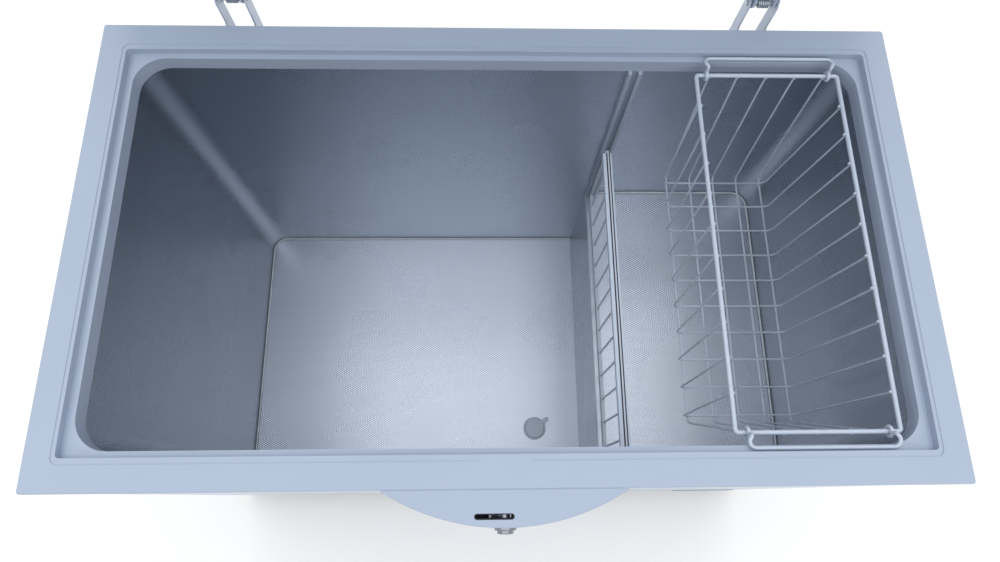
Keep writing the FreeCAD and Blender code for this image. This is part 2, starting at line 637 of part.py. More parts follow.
def hooked_cam(axis_z):
    """A hub, an arm and an arc concentric with the hub that turns into the tongue's hook."""
    gauge = size("tongue_gauge")
    back = size("tongue_y") + gauge / 2
    start, end = 145, 205

    def spot(radius, angle):
        turn = math.radians(angle)
        return Vector(radius * math.cos(turn), back, axis_z + radius * math.sin(turn))
    middle = (start + end) / 2
    edges = [Part.Arc(spot(20, start), spot(20, middle), spot(20, end)).toShape(),
             Part.LineSegment(spot(20, end), spot(14, end)).toShape(),
             Part.Arc(spot(14, end), spot(14, middle), spot(14, start)).toShape(),
             Part.LineSegment(spot(14, start), spot(20, start)).toShape()]
    hook = Part.Face(Part.Wire(edges)).extrude(Vector(0, -gauge, 0))
    arm = Part.makeBox(13, gauge, 4, Vector(4, back - gauge, axis_z - 2))
    arm.rotate(Vector(0, back, axis_z), Vector(*FRONT), end - 6)
    centre = Vector(0, back, axis_z)
    hub = Part.makeCylinder(7, gauge, centre, Vector(*FRONT)).fuse(arm).fuse(hook)
    return hub.cut(Part.makeCylinder(4, 3 * gauge, centre + Vector(0, gauge, 0), Vector(*FRONT))).removeSplitter()


# Lid and hinges

def lid_block(name, shrink, heights, corner, edge_corner=0):
    """A slab of the standing lid between two heights above the rim when it is shut."""
    x = f"half_width - {shrink}"
    slab = block(name, (f"-({x})", x), tuple(f"{LID_FACE} + {height}" for height in heights),
                 (f"{LID_FOOT} + {shrink}", f"{LID_TOP} - {shrink}"))
    slab = rounded(slab, corner, FORE_AND_AFT)
    if edge_corner:
        doc.recompute()
        far = slab.Shape.BoundBox.YMax - 0.01
        slab = rounded(slab, edge_corner, lambda item: item.BoundBox.YMin > far)
    return slab


def make_lid():
    """The lid, standing open: painted skin, foam, inner panel, gasket, grip and lock tongue."""
    top = "lid_rise + lid_thickness"
    corner = size("lid_corner")
    steel = size("sheet_steel")
    skin = lid_block("lid_skin_block", "0", ("lid_rise", top), corner, 6)
    inside = lid_block("lid_inside", "sheet_steel", ("lid_rise - 1", f"{top} - sheet_steel"), corner - steel,
                       6 - steel)
    node(cut("lid_skin", skin, inside), "lid_skin")
    node(lid_block("lid_filling", "sheet_steel", ("lid_rise + 2.5", f"{top} - sheet_steel"), corner - steel,
                   6 - steel), "lid_foam")
    plate = lid_block("lid_plate", "sheet_steel", ("lid_rise + 0.5", "lid_rise + 2.5"), corner - steel)
    panel = rounded_panel("lid_raised_panel", "lid_rise - 3.5", "lid_rise + 1")
    node(fuse("lid_liner", plate, panel), "lid_liner")
    seal = lid_block("seal_block", "gasket_inset", ("lid_rise - gasket_height", "lid_rise + 0.5"), 8)
    seal_hole = lid_block("seal_hole", "(gasket_inset + gasket_width)",
                          ("lid_rise - gasket_height - 1", "lid_rise + 2"), 3)
    node(cut("lid_gasket", seal, seal_hole), "lid_gasket")

    grip = hollow_crescent(36)
    grip.rotate(Vector(0, 0, 0), Vector(1, 0, 0), -90)
    grip.translate(Vector(0, half_depth + size("pivot_behind") - size("pivot_rise") + 6,
                          rim_top + size("pivot_rise") + size("pivot_behind") + 2 * half_depth + 0.1))
    node(shaped("lid_grip", grip), "lid_grip")

    def at(x, height):
        return str(x), f"{LID_FACE} + {height}"
    corners = [at(-33.5, 12), at(-33.5, -10), at(3.4, -10), at(3.4, -20.6), at(-4, -20.6), at(-4, -25),
               at(6.5, -25), at(6.5, 12)]
    level = f"{PIVOT_Z} + {PIVOT_Y} - tongue_y"
    node(padded("lock_tongue", "XY_Plane", corners, f"{level} - tongue_gauge / 2", f"{level} + tongue_gauge / 2"),
         "lock_tongue")


def rounded_panel(name, low, high):
    """The shallow raised panel in the middle of the lid's underside."""
    x, margin = "throat_half_width - panel_inset", "half_depth - throat_half_depth + panel_inset"
    slab = block(name, (f"-({x})", x), (f"{LID_FACE} + {low}", f"{LID_FACE} + {high}"),
                 (f"{LID_FOOT} + {margin}", f"{LID_TOP} - ({margin})"))
    return rounded(slab, size("throat_corner") - size("panel_inset"), FORE_AND_AFT)


def make_hinges():
    """Two hinges: a bracket on the cabinet's back, a pin with its torsion spring, and a leaf on the lid."""
    brackets, pins, springs, leaves, leaf_screws = [], [], [], [], []
    cheek = [(SHELL_Y, "rim_top - 170"), (f"{PIVOT_Y} - 6", "rim_top - 170"), (f"{PIVOT_Y} + 10", "rim_top - 60"),
             (f"{PIVOT_Y} + 10", PIVOT_Z), (f"{PIVOT_Y} + 5", f"{PIVOT_Z} + 9"),
             (f"{PIVOT_Y} - 5", f"{PIVOT_Z} + 9"), (f"{PIVOT_Y} - 10", PIVOT_Z),
             (f"{PIVOT_Y} - 10", "rim_top - 25"), (f"{PIVOT_Y} - 22", "rim_top - 48"), (SHELL_Y, "rim_top - 48")]
    lug = [(f"{PIVOT_Y} - 8", f"{LID_FOOT} - 2"), (f"{PIVOT_Y} - 8.5", PIVOT_Z),
           (f"{PIVOT_Y} - 4", f"{PIVOT_Z} - 7"), (f"{PIVOT_Y} + 4", f"{PIVOT_Z} - 7"),
           (f"{PIVOT_Y} + 8.5", PIVOT_Z), (f"{PIVOT_Y} + 14", f"{LID_FOOT} - 2")]
    for number, side in enumerate((-1, 1)):
        x = f"{side} * hinge_x"
        bore = rod(f"pin_bore_{number}", "pin_radius + pin_clearance", "60", (f"{x} - 30", PIVOT_Y, PIVOT_Z),
                   (1, 0, 0))
        cheeks = [padded(f"cheek_{number}_{edge}", "YZ_Plane", cheek, f"{x} + {low}", f"{x} + {low} + 2.5")
                  for edge, low in enumerate((-22, 19.5))]
        base = block(f"bracket_base_{number}", (f"{x} - 22", f"{x} + 22"), (SHELL_Y, f"{SHELL_Y} + 2.5"),
                     ("rim_top - 170", "rim_top - 48"))
        brackets.append(cut(f"bracket_{number}", fuse(f"bracket_walls_{number}", base, *cheeks), bore))
        pins.append(rod(f"pin_{number}", "pin_radius", "48", (f"{x} - 24", PIVOT_Y, PIVOT_Z), (1, 0, 0)))

        lugs = [padded(f"lug_{number}_{edge}", "YZ_Plane", lug, f"{x} + {low}", f"{x} + {low} + 3")
                for edge, low in enumerate((-16, 13))]
        plate = block(f"leaf_plate_{number}", (f"{x} - 16", f"{x} + 16"), (f"{LID_FACE} + 8", f"{LID_FACE} + 46"),
                      (f"{LID_FOOT} - 2.5", LID_FOOT))
        leaves.append(cut(f"leaf_{number}", fuse(f"leaf_walls_{number}", plate, *lugs), bore))
        springs.append(torsion_spring(side * size("hinge_x")))
        for place, height in enumerate((14, 40)):
            leaf_screws.append(screw(f"leaf_screw_{number}_{place}",
                                     (x, f"{LID_FACE} + {height}", f"{LID_FOOT} - 2.6"), (0, 0, -1)))
    node(group("hinge_brackets", *brackets), "hinge_brackets")
    node(group("hinge_pins", *pins), "hinge_pins")
    node(shaped("hinge_springs", *springs), "hinge_springs")
    node(group("hinge_leaves", *leaves), "hinge_leaves")
    node(group("leaf_screws", *leaf_screws), "leaf_screws")


def torsion_spring(x):
    """Seven turns of spring wire round a hinge pin."""
    radius, wire_radius, pitch, turns = 6.4, 1.2, 2.7, 6
    helix = Part.makeHelix(pitch, pitch * turns, radius)
    section = Part.Wire(Part.Circle(Vector(radius, 0, 0), Vector(0, radius, pitch / (2 * math.pi)),
                                    wire_radius).toShape())
    coil = Part.Wire(helix.Edges).makePipeShell([section], True, True)
    coil.Placement = Placement(Vector(x - pitch * turns / 2, half_depth + size("pivot_behind"),
                                      rim_top + size("pivot_rise")), Rotation(Vector(0, 0, 1), Vector(1, 0, 0)))
    return coil


def screw(name, base, direction):
    """A pan head screw's head, seated at the base point."""
    return turned(name, [("0", "0"), ("4", "0"), ("4", "1"), ("2.6", "2.2"), ("0", "2.2")], base, direction)


# Machine space and controls

def make_machine_space():
    """The well's lining, the compressor on its rubber mounts, and the pipes of the circuit."""
    wall = block("well_wall", ("well_x", "well_x + 1.2"), (f"-{INSIDE_Y}", INSIDE_Y), (PAN_TOP, "well_top"))
    ceiling = block("well_ceiling", ("well_x", INSIDE_X), (f"-{INSIDE_Y}", INSIDE_Y),
                    ("well_top - 1.2", "well_top"))
    node(fuse("machine_well", wall, ceiling), "machine_well")

    radius = "compressor_radius"
    pot = turned("pot", [("0", "0"), (f"{radius} - 16", "0"), (f"{radius} - 2", "12"), (radius, "20"),
                         (radius, "84"), (f"{radius} + 3", "86"), (f"{radius} + 3", "91"), (radius, "93"),
                         (f"{radius} - 3", "118"), (f"{radius} - 18", "138"), (f"{radius} - 42", "148"),
                         ("0", "150")], ("compressor_x", "compressor_y", "63.2"))
    node(pot, "compressor_shell")
    bracket = block("bracket_plate", ("compressor_x - 92", "compressor_x + 92"),
                    ("compressor_y - 66", "compressor_y + 66"), ("60", "63"))
    places = [(across, along) for across in (-76, 76) for along in (-50, 50)]
    holes = [rod(f"mount_hole_{number}", "6.2", "10", (f"compressor_x + {across}", f"compressor_y + {along}", "55"))
             for number, (across, along) in enumerate(places)]
    node(cut("compressor_bracket", bracket, *holes), "compressor_bracket")
    grommets, bolts = [], []
    for number, (across, along) in enumerate(places):
        base = (f"compressor_x + {across}", f"compressor_y + {along}", PAN_TOP)
        grommets.append(turned(f"grommet_{number}", [("4.3", "0"), ("13", "0"), ("13", "6"), ("10", "9"),
                                                     ("13", "12"), ("13", "23.6"), ("6", "23.6"), ("6", "31"),
                                                     ("4.3", "31")], base))
        bolts.append(turned(f"bolt_{number}", [("0", "0"), ("4", "0"), ("4", "31.2"), ("9", "31.2"), ("9", "33"),
                                               ("6.5", "33"), ("6.5", "38"), ("0", "38")], base))
    node(group("compressor_grommets", *grommets), "compressor_grommets")
    node(group("compressor_bolts", *bolts), "compressor_bolts")
    node(rounded(block("starter_block", ("compressor_x + compressor_radius + 4", "compressor_x + 104"),
                       ("compressor_y - 26", "compressor_y + 26"), ("96", "146")), 5, UPRIGHT), "starter_box")

    x, y = size("compressor_x"), size("compressor_y")
    radius = size("compressor_radius")
    well_x = size("well_x") + 2
    node(shaped("suction_line", bored_wire([(x - radius - 0.4, y, 120), (x - radius - 46, y, 120),
                                            (x - radius - 46, y, 280), (well_x, y, 280)], 4, 0.8, 14)), "suction_line")
    node(shaped("discharge_line", bored_wire([(x, y - radius - 0.4, 110), (x, y - radius - 80, 110),
                                              (x + 110, y - radius - 80, 110), (x + 110, y - radius - 80, 296),
                                              (x + 110, -298, 296), (x + 60, -298, 296)], 3, 0.7, 14)),
         "discharge_line")
    node(turned("filter_drier", [("0", "0"), ("3", "0"), ("3", "8"), ("9", "16"), ("9", "94"), ("3", "102"),
                                 ("3", "110"), ("0", "110")], ("470", "-90", "150")), "filter_drier")
    node(shaped("capillary_tube", wire([(470, -90, 260.4), (470, -90, 290), (300, -90, 290), (300, 60, 290),
                                        (well_x, 60, 290)], 1.2, 12)), "capillary_tube")
    node(shaped("condenser_coil", bored_wire(condenser_route(), 2.5, 0.6, 18)), "condenser_coil")
    node(shaped("evaporator_coil", bored_wire(evaporator_route(), 3, 0.7, 18)), "evaporator_coil")
    node(turned("power_inlet", [("5", "-10"), ("8", "-10"), ("8", "0.1"), ("12", "0.1"), ("12", "6"), ("9", "9"),
                                ("5", "9")], ("505", SHELL_Y, "80"), BACK), "power_inlet")
    make_back_screws()


def make_back_screws():
    """The screws down both edges of the back, and three in each hinge bracket."""
    heads = []
    for side in (-1, 1):
        for row, level in enumerate(("60", "300", "560", "780")):
            heads.append(screw(f"cover_screw_{row}_{side}",
                               (f"{side} * (half_width - 14)", f"{SHELL_Y} + 0.1", level), BACK))
        for row, drop in enumerate((70, 110, 150)):
            heads.append(screw(f"hinge_screw_{row}_{side}",
                               (f"{side} * hinge_x", f"{SHELL_Y} + 2.6", f"rim_top - {drop}"), BACK))
    node(group("back_screws", *heads), "back_screws")


def make_controls():
    """The thermostat's knob and three lamps in a dish let into the front, and the sensor's fine tube."""
    face = f"-{SHELL_Y}"
    floor = f"({face} + dish_depth - 1.5)"
    flange = block("dish_flange", (f"{DISH_LEFT} - 4", f"{DISH_RIGHT} + 4"), (f"{face} - 1.5", f"{face} - 0.1"),
                   (f"{DISH_LOW} - 4", f"{DISH_HIGH} + 4"))
    dish = block("dish_walls", (DISH_LEFT, DISH_RIGHT), (f"{face} - 0.1", f"{face} + dish_depth"),
                 (DISH_LOW, DISH_HIGH))
    hollow = rounded(block("dish_hollow", (f"{DISH_LEFT} + 1.5", f"{DISH_RIGHT} - 1.5"), (f"{face} - 2", floor),
                           (f"{DISH_LOW} + 1.5", f"{DISH_HIGH} - 1.5")), 6, FORE_AND_AFT)
    shaft_hole = rod("shaft_hole", "4.4", "10", ("control_x", f"{floor} + 5", "control_z"), FRONT)
    lamp_places = [f"control_x + {step}" for step in (34, 52, 70)]
    lamp_holes = [rod(f"lamp_hole_{number}", "4.1", "10", (place, f"{floor} + 5", "control_z"), FRONT)
                  for number, place in enumerate(lamp_places)]
    outside = fuse("dish_outside", rounded(flange, 8, FORE_AND_AFT), rounded(dish, 7, FORE_AND_AFT))
    node(cut("control_cut", outside, hollow, shaft_hole, *lamp_holes), "control_bezel")
    lamps = [turned(f"lamp_{number}", [("0", "-6"), ("4", "-6"), ("4", "0.9"), ("2.5", "2.1"), ("0", "2.5")],
                    (place, floor, "control_z"), FRONT) for number, place in enumerate(lamp_places)]
    node(group("indicator_lamps", *lamps), "indicator_lamps")
    knob = turned("knob_body", [("0", "-1.2"), ("4", "-1.2"), ("4", "1.6"), ("14", "1.6"), ("14", "4"),
                                ("12", "14"), ("11", "15"), ("0", "15")], ("control_x", floor, "control_z"), FRONT)
    pointer = block("knob_pointer", ("control_x - 1.2", "control_x + 1.2"), (f"{floor} - 16", f"{floor} - 13"),
                    ("control_z + 2", "control_z + 11"))
    node(fuse("thermostat_knob", knob, pointer), "thermostat_knob")
    back = f"({face} + dish_depth)"
    node(rounded(block("thermostat_block", ("control_x - 19", "control_x + 19"), (f"{back} + 0.5", f"{back} + 30"),
                       ("control_z - 13", "control_z + 13")), 4, FORE_AND_AFT), "thermostat_body")
    x, z = size("control_x"), size("control_z")
    behind = size("dish_depth") + 30.1 + size("shell_inset") - half_depth
    bulb_x, bulb_y, bulb_z = 290, -235, 270
    line = wire([(x, behind, z), (x, bulb_y, z), (bulb_x, bulb_y, z), (bulb_x, bulb_y, bulb_z)], 1.2, 12)
    bulb = Part.makeCylinder(3, 30, Vector(bulb_x, bulb_y, bulb_z + 0.05))
    node(shaped("sensor_tube", line.fuse(bulb)), "sensor_tube")


def check_and_write():
    """Stops at anything that failed, then writes each sub-part to its own file."""
    doc.recompute()
    failed = [item.Label for item in doc.Objects if "Invalid" in item.State or "Error" in item.State]
    for item in sub_parts:
        if item.Shape.isNull() or not item.Shape.isValid():
            failed.append(item.Label)
    if failed:
        raise RuntimeError("failed: " + ", ".join(failed))
    os.makedirs("parts", exist_ok=True)
    for item in sub_parts:
        item.Shape.exportStep(f"parts/{item.Label}.step")
        print(f"{item.Label}: {len(item.Shape.Solids)} solids, {item.Shape.Volume / 1000:.1f} cm3")
    print(len(sub_parts), "sub-parts")


for make in (make_rim_frame, make_throat_lip, make_shell, make_back_panel, make_base_pan, make_feet,
             make_vent_grille, make_foam, make_liner, make_liner_trim, make_guides, make_drain, make_divider,
             make_basket, make_lock, make_lid, make_hinges, make_machine_space, make_controls):
    make()
check_and_write()
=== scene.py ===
import json
import math

import bmesh
import bpy
from mathutils import Matrix, Vector


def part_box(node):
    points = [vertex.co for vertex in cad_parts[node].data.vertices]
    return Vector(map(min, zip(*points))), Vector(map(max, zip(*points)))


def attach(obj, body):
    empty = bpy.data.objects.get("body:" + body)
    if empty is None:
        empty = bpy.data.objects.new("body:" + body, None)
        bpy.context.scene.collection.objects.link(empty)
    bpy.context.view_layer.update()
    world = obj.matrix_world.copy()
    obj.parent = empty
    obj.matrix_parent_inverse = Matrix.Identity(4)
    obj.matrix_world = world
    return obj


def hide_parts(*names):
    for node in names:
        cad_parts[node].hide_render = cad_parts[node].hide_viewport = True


# The looks of a chest freezer that stands open. Metres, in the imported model's frame: +Z up, +X to the right
# and +Y to the back. The camera looks down into it from above its front edge.

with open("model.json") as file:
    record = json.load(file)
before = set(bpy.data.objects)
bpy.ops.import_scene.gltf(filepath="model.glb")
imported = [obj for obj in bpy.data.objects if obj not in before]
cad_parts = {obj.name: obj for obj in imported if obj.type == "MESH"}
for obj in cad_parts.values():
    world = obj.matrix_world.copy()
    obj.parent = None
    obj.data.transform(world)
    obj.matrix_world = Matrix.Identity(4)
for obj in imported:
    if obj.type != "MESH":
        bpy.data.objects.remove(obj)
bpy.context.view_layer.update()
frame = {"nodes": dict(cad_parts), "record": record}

MM = 0.001

# Base colours. Those of the pieces that the photograph shows were tuned against it, under this light
SHELL_WHITE = (0.430, 0.490, 0.590)
RIM_WHITE = (0.362, 0.424, 0.528)
GUIDE_WHITE = (0.350, 0.405, 0.490)
WIRE_WHITE = (0.480, 0.545, 0.640)
BAR_WHITE = (0.600, 0.680, 0.790)
# Partly painted light: the seam's own pale colour is lightened further to make up for the shade next to the
# walls
PAINTED_LIGHT_SEAM_WHITE = (0.780, 0.840, 0.920)
ALUMINIUM = (0.560, 0.610, 0.690)
BRIGHT_ALUMINIUM = (0.700, 0.740, 0.800)
TRIM_ALUMINIUM = (0.420, 0.460, 0.520)
ZINC = (0.500, 0.540, 0.590)
CHROME = (0.260, 0.280, 0.310)
COPPER = (0.720, 0.400, 0.260)
# Painted light: the plug's grey is lightened to make up for the shade on the liner's floor
PAINTED_LIGHT_PLUG_GREY = (0.620, 0.690, 0.790)
GASKET_GREY = (0.300, 0.330, 0.380)
BLACK = (0.020, 0.020, 0.023)
INLAY_BROWN = (0.026, 0.008, 0.008)
FOAM_YELLOW = (0.700, 0.600, 0.380)
COIL_BLACK = (0.140, 0.140, 0.150)
FLOOR_WHITE = (0.930, 0.920, 0.890)
LAMP_COLOURS = ((0.03, 0.40, 0.08), (0.70, 0.30, 0.03), (0.60, 0.03, 0.02))

# The light of the room
ROOM_COLOUR = (0.930, 0.960, 1.000)
ROOM_STRENGTH = 0.92

# The embossed aluminium: the dots' spacing and height, where the wave between them is cut off flat, the
# painted shade in the hollows and the painted highlight on the tops, and the painted shade on faces that
# point sideways (end walls) or upwards (floors)
DOT_PITCH = 4.35 * MM
DOT_RELIEF = 0.24 * MM
DOT_HOLLOW = -0.15
HOLLOW_PAINTED_SHADE = 0.84
TOP_PAINTED_HIGHLIGHT = 1.30
SIDEWAYS_PAINTED_SHADE = 0.62
UPWARDS_PAINTED_SHADE = 0.88

# The camera as solved from the photograph: millimetres, and degrees about X, Y and Z
SENSOR_WIDTH = 36.0
LENS = 24.815
CAMERA_PLACE = (-30.126, -326.199, 1661.807)
CAMERA_TURN = (17.402, -1.589, -0.632)

# A face counts as facing along an axis when its normal reaches this far along it
DIAGONAL = 0.707

# The wire basket: radii of its thin wires and of its frame, and how many wires run each way
WIRE_RADIUS = 1.5 * MM
RAIL_RADIUS = 3 * MM
LONG_WIRES = 5
CROSS_WIRES = 10


# Shader nodes

def add(tree, kind, inputs=None, **settings):
    """A node with its settings, its constant inputs and its links."""
    node = tree.nodes.new(kind)
    for key, value in settings.items():
        setattr(node, key, value)
    for socket, value in (inputs or {}).items():
        if isinstance(value, bpy.types.NodeSocket):
            tree.links.new(value, node.inputs[socket])
        else:
            node.inputs[socket].default_value = value
    return node


def new_material(name, colour, roughness, metallic=0.0, **surface):
    """A material with a Principled shader, and that shader and its tree."""
    material = bpy.data.materials.new(name)
    material.use_nodes = True
    tree = material.node_tree
    shader = tree.nodes["Principled BSDF"]
    shader.inputs["Base Color"].default_value = (*colour, 1)
    shader.inputs["Roughness"].default_value = roughness
    shader.inputs["Metallic"].default_value = metallic
    for socket, value in surface.items():
        shader.inputs[socket.replace("_", " ")].default_value = value
    return material, tree, shader


def object_coordinates(tree):
    """Places on the object in its own frame."""
    return add(tree, "ShaderNodeTexCoord").outputs["Object"]


def stretched(tree, coordinates, scale):
    """Coordinates scaled by a different amount along each axis."""
    return add(tree, "ShaderNodeMapping", {"Vector": coordinates, "Scale": scale}).outputs["Vector"]


def noise(tree, coordinates, scale, detail=3.0, roughness=0.5):
    """Soft random values from 0 to 1."""
    return add(tree, "ShaderNodeTexNoise", {"Vector": coordinates, "Scale": scale, "Detail": detail,
                                            "Roughness": roughness}).outputs["Fac"]


def cells(tree, coordinates, scale, output="Distance"):
    """Cells of random shape."""
    return add(tree, "ShaderNodeTexVoronoi", {"Vector": coordinates, "Scale": scale}).outputs[output]


def math_node(tree, operation, first, second=0.0):
    """One sum on one or two values."""
    return add(tree, "ShaderNodeMath", {0: first, 1: second}, operation=operation).outputs[0]


def spread(tree, value, low, high, start=0.0, end=1.0):
    """A value's range from start to end carried to low to high."""
    return add(tree, "ShaderNodeMapRange", {"Value": value, "From Min": start, "From Max": end,
                                            "To Min": low, "To Max": high}).outputs["Result"]


def shades(tree, value, stops, interpolation="LINEAR"):
    """A colour for each value, from (place, colour) stops."""
    ramp = add(tree, "ShaderNodeValToRGB", {"Fac": value})
    elements = ramp.color_ramp.elements
    ramp.color_ramp.interpolation = interpolation
    while len(elements) < len(stops):
        elements.new(0.5)
    for element, (place, colour) in zip(elements, stops):
        element.position = place
        element.color = (*colour, 1)
    return ramp.outputs["Color"]


def tone(colour, factor):
    """A lighter or darker shade of a colour."""
    return tuple(min(1.0, part * factor) for part in colour)


def bump(tree, height, distance, strength=1.0):
    """Small relief, in metres."""
    return add(tree, "ShaderNodeBump", {"Height": height, "Distance": distance,
                                        "Strength": strength}).outputs["Normal"]


def link(tree, shader, **sockets):
    """Links outputs to the shader's inputs."""
    for name, output in sockets.items():
        tree.links.new(output, shader.inputs[name.replace("_", " ")])


def mottled(tree, coordinates, colour, scale, contrast):
    """A colour that drifts a little lighter and darker."""
    stops = [(0.0, tone(colour, 1 - 2 * contrast)), (1.0, tone(colour, 1 + 2 * contrast))]
    return shades(tree, noise(tree, coordinates, scale), stops)


def face_coordinates(tree):
    """Two distances along whichever way a surface faces, and how far it faces sideways and upwards."""
    texture = add(tree, "ShaderNodeTexCoord")
    place = add(tree, "ShaderNodeSeparateXYZ", {"Vector": texture.outputs["Object"]})
    facing = add(tree, "ShaderNodeSeparateXYZ", {"Vector": texture.outputs["Normal"]})
    faces_x = math_node(tree, "GREATER_THAN", math_node(tree, "ABSOLUTE", facing.outputs["X"]), DIAGONAL)
    faces_z = math_node(tree, "GREATER_THAN", math_node(tree, "ABSOLUTE", facing.outputs["Z"]), DIAGONAL)
    across = add(tree, "ShaderNodeMix", {"Factor": faces_x, 2: place.outputs["X"], 3: place.outputs["Y"]})
    along = add(tree, "ShaderNodeMix", {"Factor": faces_z, 2: place.outputs["Z"], 3: place.outputs["Y"]})
    sideways = math_node(tree, "ABSOLUTE", facing.outputs["X"])
    upwards = math_node(tree, "ABSOLUTE", facing.outputs["Z"])
    return across.outputs[0], along.outputs[0], sideways, upwards


# Materials

def embossed_aluminium():
    """Thin aluminium sheet with staggered dots pressed in by rolling. Painted shade darkens the hollows, the
    end walls and the floors; a painted highlight lightens the dots' tops.
    """
    material, tree, shader = new_material("embossed_aluminium", ALUMINIUM, 0.28, 1.0)
    across, along, sideways, upwards = face_coordinates(tree)
    turns_along = 2 * math.pi / DOT_PITCH
    turns_across = 2 * math.pi / (DOT_PITCH * math.sqrt(3))
    wave_across = math_node(tree, "COSINE", math_node(tree, "MULTIPLY", across, turns_across))
    wave_along = math_node(tree, "COSINE", math_node(tree, "MULTIPLY", along, turns_along))
    dots = math_node(tree, "MAXIMUM", math_node(tree, "MULTIPLY", wave_across, wave_along), DOT_HOLLOW)
    coordinates = object_coordinates(tree)
    clouds = mottled(tree, coordinates, ALUMINIUM, 7.0, 0.02)
    # Painted shade: the colour is darker on faces that point sideways (end walls) or upwards (floors)
    turned = math_node(tree, "MULTIPLY", spread(tree, sideways, 1.0, SIDEWAYS_PAINTED_SHADE),
                       spread(tree, upwards, 1.0, UPWARDS_PAINTED_SHADE))
    # Painted shade in the dots' hollows and a painted highlight on their tops, carried into the colour
    relief = spread(tree, dots, HOLLOW_PAINTED_SHADE, TOP_PAINTED_HIGHLIGHT, DOT_HOLLOW, 1.0)
    painted_dot_and_face_light = math_node(tree, "MULTIPLY", relief, turned)
    colour = add(tree, "ShaderNodeMix", {"Factor": 1.0, 6: clouds, 7: painted_dot_and_face_light},
                 data_type="RGBA", blend_type="MULTIPLY")
    link(tree, shader, Normal=bump(tree, dots, DOT_RELIEF), Base_Color=colour.outputs[2],
         Roughness=spread(tree, noise(tree, coordinates, 5.0, 1.0), 0.24, 0.31))
    return material


def smooth_moulding(name, colour, roughness, grain=0.02):
    """Injection-moulded plastic: satin, with a very fine grain and faint flow marks."""
    material, tree, shader = new_material(name, colour, roughness, Specular_IOR_Level=0.45)
    coordinates = object_coordinates(tree)
    fine = noise(tree, coordinates, 1400.0, 2.0)
    marks = noise(tree, stretched(tree, coordinates, (3, 3, 12)), 4.0, 4.0)
    link(tree, shader, Normal=bump(tree, fine, grain * MM, 0.6),
         Base_Color=mottled(tree, coordinates, colour, 5.0, 0.018),
         Roughness=spread(tree, marks, roughness - 0.05, roughness + 0.07, 0.3, 0.7))
    return material


def painted_steel():
    """Baked enamel paint with a slight orange peel."""
    material, tree, shader = new_material("painted_steel", SHELL_WHITE, 0.30, Coat_Weight=0.15,
                                          Coat_Roughness=0.2)
    coordinates = object_coordinates(tree)
    peel = noise(tree, coordinates, 420.0, 2.0)
    link(tree, shader, Normal=bump(tree, peel, 0.03 * MM, 0.4),
         Base_Color=mottled(tree, coordinates, SHELL_WHITE, 3.0, 0.015),
         Roughness=spread(tree, noise(tree, coordinates, 6.0, 2.0), 0.25, 0.36))
    return material


def galvanised_steel():
    """Zinc-coated sheet with its spangle."""
    material, tree, shader = new_material("galvanised_steel", ZINC, 0.42, 0.9)
    coordinates = object_coordinates(tree)
    flakes = cells(tree, coordinates, 140.0, output="Color")
    shade = add(tree, "ShaderNodeSeparateColor", {"Color": flakes}).outputs[0]
    stops = [(0.0, tone(ZINC, 0.92)), (0.6, ZINC), (1.0, tone(ZINC, 1.07))]
    link(tree, shader, Base_Color=shades(tree, shade, stops),
         Roughness=spread(tree, shade, 0.40, 0.50),
         Normal=bump(tree, noise(tree, coordinates, 260.0, 3.0), 0.03 * MM, 0.6))
    return material


def seam_sealant():
    """The twisted seam where the walls meet the floors: bright by its own colour and by painted light."""
    material, tree, shader = new_material("seam_sealant", PAINTED_LIGHT_SEAM_WHITE, 0.30, 0.1)
    coordinates = object_coordinates(tree)
    link(tree, shader, Base_Color=mottled(tree, coordinates, PAINTED_LIGHT_SEAM_WHITE, 60.0, 0.10),
         Normal=bump(tree, noise(tree, coordinates, 900.0), 0.05 * MM, 0.7))
    return material


def drawn_metal(name, colour, roughness, grain, contrast=0.06):
    """Metal with fine lines along the way it was drawn or brushed."""
    material, tree, shader = new_material(name, colour, roughness, 1.0)
    coordinates = object_coordinates(tree)
    lines = noise(tree, stretched(tree, coordinates, grain), 1.0, 3.0)
    link(tree, shader, Normal=bump(tree, lines, 0.02 * MM, 0.6),
         Base_Color=mottled(tree, coordinates, colour, 22.0, contrast),
         Roughness=spread(tree, lines, roughness - 0.06, roughness + 0.10, 0.3, 0.7))
    return material


def foam():
    """Closed-cell insulation foam."""
    material, tree, shader = new_material("foam", FOAM_YELLOW, 0.9)
    coordinates = object_coordinates(tree)
    link(tree, shader, Normal=bump(tree, cells(tree, coordinates, 700.0), 0.5 * MM, 0.8),
         Base_Color=mottled(tree, coordinates, FOAM_YELLOW, 30.0, 0.10))
    return material


def coated_wire():
    """Wire dipped in plastic: soft gloss over a slightly uneven coat."""
    material, tree, shader = new_material("coated_wire", WIRE_WHITE, 0.30, Coat_Weight=0.3,
                                          Coat_Roughness=0.15)
    coordinates = object_coordinates(tree)
    link(tree, shader, Normal=bump(tree, noise(tree, coordinates, 160.0, 3.0), 0.12 * MM, 0.6),
         Base_Color=mottled(tree, coordinates, WIRE_WHITE, 40.0, 0.04),
         Roughness=spread(tree, noise(tree, coordinates, 90.0), 0.25, 0.40, 0.3, 0.7))
    return material


def grained_plastic(name, colour, roughness):
    """Matt plastic with a spark-eroded grain."""
    material, tree, shader = new_material(name, colour, roughness)
    coordinates = object_coordinates(tree)
    marks = noise(tree, coordinates, 25.0)
    link(tree, shader, Normal=bump(tree, noise(tree, coordinates, 1100.0, 2.0), 0.08 * MM, 0.7),
         Base_Color=mottled(tree, coordinates, colour, 18.0, 0.12),
         Roughness=spread(tree, marks, roughness - 0.08, roughness + 0.08, 0.3, 0.7))
    return material


def bright_chrome():
    """Polished plating with faint finger smears."""
    material, tree, shader = new_material("bright_chrome", CHROME, 0.12, 1.0)
    coordinates = object_coordinates(tree)
    link(tree, shader, Roughness=spread(tree, noise(tree, coordinates, 120.0, 5.0), 0.05, 0.22, 0.35, 0.75),
         Normal=bump(tree, noise(tree, coordinates, 500.0), 0.01 * MM, 0.4))
    return material


